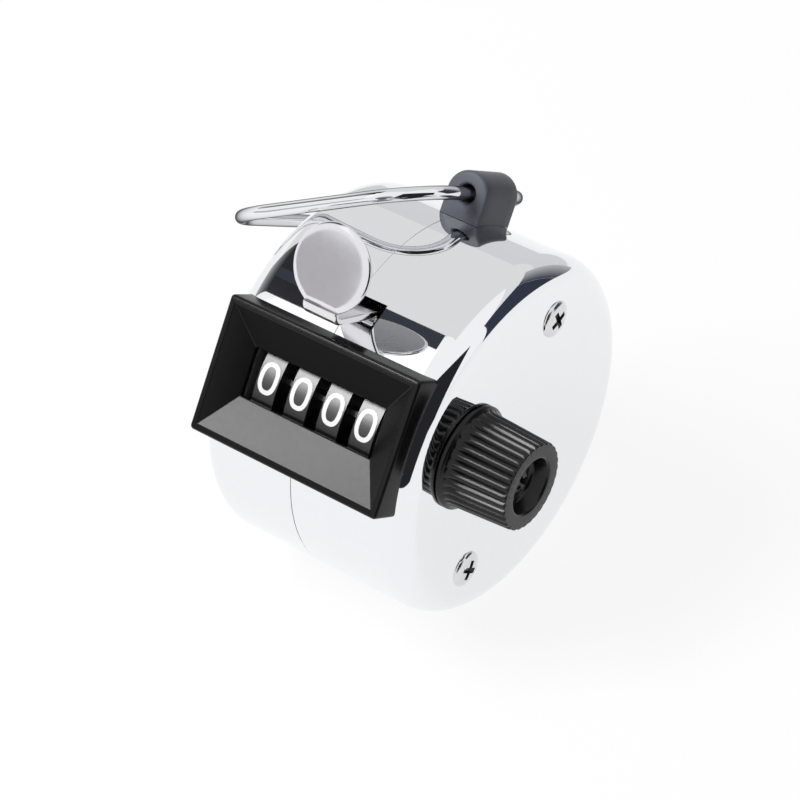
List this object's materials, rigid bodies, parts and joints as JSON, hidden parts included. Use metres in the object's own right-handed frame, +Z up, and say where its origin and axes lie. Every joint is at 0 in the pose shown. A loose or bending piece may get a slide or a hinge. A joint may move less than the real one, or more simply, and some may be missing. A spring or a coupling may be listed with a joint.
{
  "type": "tally counter",
  "caption": "Chromed drum-shaped hand tally counter with a thumb lever, number wheels behind a black window frame, a ribbed reset knob and a swinging finger ring",
  "frame": {"origin": "the middle of the drum, on its axis, where a closed hand holds it", "axes": "+X along the drum's axis from the plain end to the knob end, -Y the front with the window, +Z up towards the thumb lever and the ring block"},
  "size_m": [0.0505, 0.0505, 0.0564],
  "materials": {
    "chrome_shell": "mirror chromed sheet",
    "black_frame": "moulded black, semi gloss",
    "lever_chrome": "satin chromed sheet",
    "black_knob": "moulded black, fine grain",
    "screw_steel": "nickelled",
    "grey_block": "moulded dark grey",
    "ring_wire": "polished wire",
    "plain_steel": "plain",
    "black_wheel": "moulded black with white printed figures",
    "gear_brass": "stamped",
    "spring_steel": "drawn"
  },
  "bodies": {
    "case": {"left_shell": "chrome_shell", "right_shell": "chrome_shell", "bezel": "black_frame", "cover_screws": "screw_steel", "ring_block": "grey_block", "block_rivet": "plain_steel", "left_plate": "plain_steel", "right_plate": "plain_steel", "frame_posts": "plain_steel", "pinion_shaft": "plain_steel", "lever_spring": "spring_steel", "detent_spring": "spring_steel"},
    "lever": {"thumb_lever": "lever_chrome", "lever_shaft": "plain_steel", "drive_arm": "plain_steel"},
    "pawl": {"pawl": "gear_brass"},
    "reset_shaft": {"counter_shaft": "plain_steel", "shaft_clip": "plain_steel", "reset_knob": "black_knob", "knob_screw": "screw_steel"},
    "thousands": {"thousands_wheel": "black_wheel"},
    "hundreds": {"hundreds_wheel": "black_wheel"},
    "tens": {"tens_wheel": "black_wheel"},
    "units": {"units_wheel": "black_wheel", "ratchet": "gear_brass"},
    "thousands_carry": {"thousands_pinion": "gear_brass"},
    "hundreds_carry": {"hundreds_pinion": "gear_brass"},
    "tens_carry": {"tens_pinion": "gear_brass"},
    "ring": {"finger_ring": "ring_wire"}
  },
  "joints": [
    {"name": "lever_press", "type": "hinge", "parent": "case", "child": "lever", "pos_m": [0, -0.01005, 0.01776], "axis": [-1, 0, 0], "range_deg": [0, 30], "stiffness_Nm_per_rad": 0.03, "springref_deg": -20.05, "deforming": ["lever_spring", "detent_spring"]},
    {"name": "units_count", "type": "hinge", "parent": "case", "child": "units", "pos_m": [0, -0.00994, 0.00477], "axis": [1, 0, 0], "range_deg": [0, 36.5], "deforming": ["detent_spring"]},
    {"name": "pawl_swing", "type": "hinge", "parent": "lever", "child": "pawl", "pos_m": [0, -0.01005, 0.01177], "axis": [1, 0, 0], "range_deg": [0, 33]},
    {"name": "reset_turn", "type": "hinge", "parent": "case", "child": "reset_shaft", "pos_m": [0, -0.00994, 0.00477], "axis": [1, 0, 0], "continuous": true},
    {"name": "thousands_turn", "type": "hinge", "parent": "case", "child": "thousands", "pos_m": [0, -0.00994, 0.00477], "axis": [1, 0, 0], "continuous": true},
    {"name": "hundreds_turn", "type": "hinge", "parent": "case", "child": "hundreds", "pos_m": [0, -0.00994, 0.00477], "axis": [1, 0, 0], "continuous": true},
    {"name": "tens_turn", "type": "hinge", "parent": "case", "child": "tens", "pos_m": [0, -0.00994, 0.00477], "axis": [1, 0, 0], "continuous": true},
    {"name": "thousands_pinion_turn", "type": "hinge", "parent": "case", "child": "thousands_carry", "pos_m": [0, 0.00073, -0.00139], "axis": [1, 0, 0], "continuous": true},
    {"name": "hundreds_pinion_turn", "type": "hinge", "parent": "case", "child": "hundreds_carry", "pos_m": [0, 0.00073, -0.00139], "axis": [1, 0, 0], "continuous": true},
    {"name": "tens_pinion_turn", "type": "hinge", "parent": "case", "child": "tens_carry", "pos_m": [0, 0.00073, -0.00139], "axis": [1, 0, 0], "continuous": true},
    {"name": "ring_swing", "type": "hinge", "parent": "case", "child": "ring", "pos_m": [0, 0.01334, 0.0222], "axis": [0, 0.8572, -0.515], "range_deg": [0, 231]}
  ],
  "couplings": [
    {"joint": "units_count", "follows": "lever_press", "ratio": 1.2},
    {"joint": "pawl_swing", "follows": "lever_press", "ratio": 1.0803},
    {"joint": "thousands_turn", "follows": "reset_turn", "ratio": 1},
    {"joint": "hundreds_turn", "follows": "reset_turn", "ratio": 1},
    {"joint": "tens_turn", "follows": "reset_turn", "ratio": 1},
    {"joint": "thousands_pinion_turn", "follows": "reset_turn", "ratio": -2.5},
    {"joint": "hundreds_pinion_turn", "follows": "reset_turn", "ratio": -2.5},
    {"joint": "tens_pinion_turn", "follows": "reset_turn", "ratio": -2.5}
  ]
}
